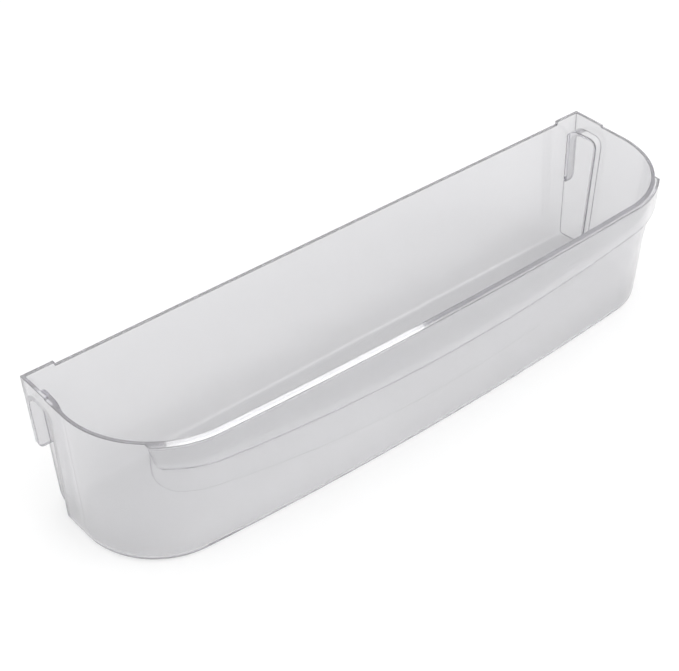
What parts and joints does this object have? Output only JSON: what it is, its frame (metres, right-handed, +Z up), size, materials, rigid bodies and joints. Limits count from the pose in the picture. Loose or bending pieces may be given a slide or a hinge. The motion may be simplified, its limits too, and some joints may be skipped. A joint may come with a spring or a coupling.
{
  "type": "fridge door shelf",
  "caption": "Clear moulded fridge door shelf: an open tray with a bowed front, an arched apron under the front rim and a hook channel at each rear corner.",
  "frame": {"origin": "on the flat underside, at the middle of the shelf's overall length and depth", "axes": "+X along the length, -Y towards the bowed front, +Z up"},
  "size_m": [0.464, 0.1167, 0.0982],
  "materials": {
    "clear_plastic": "clear, polished, with faint scuffs inside"
  },
  "bodies": {
    "root": {"door_shelf": "clear_plastic"}
  },
  "joints": []
}
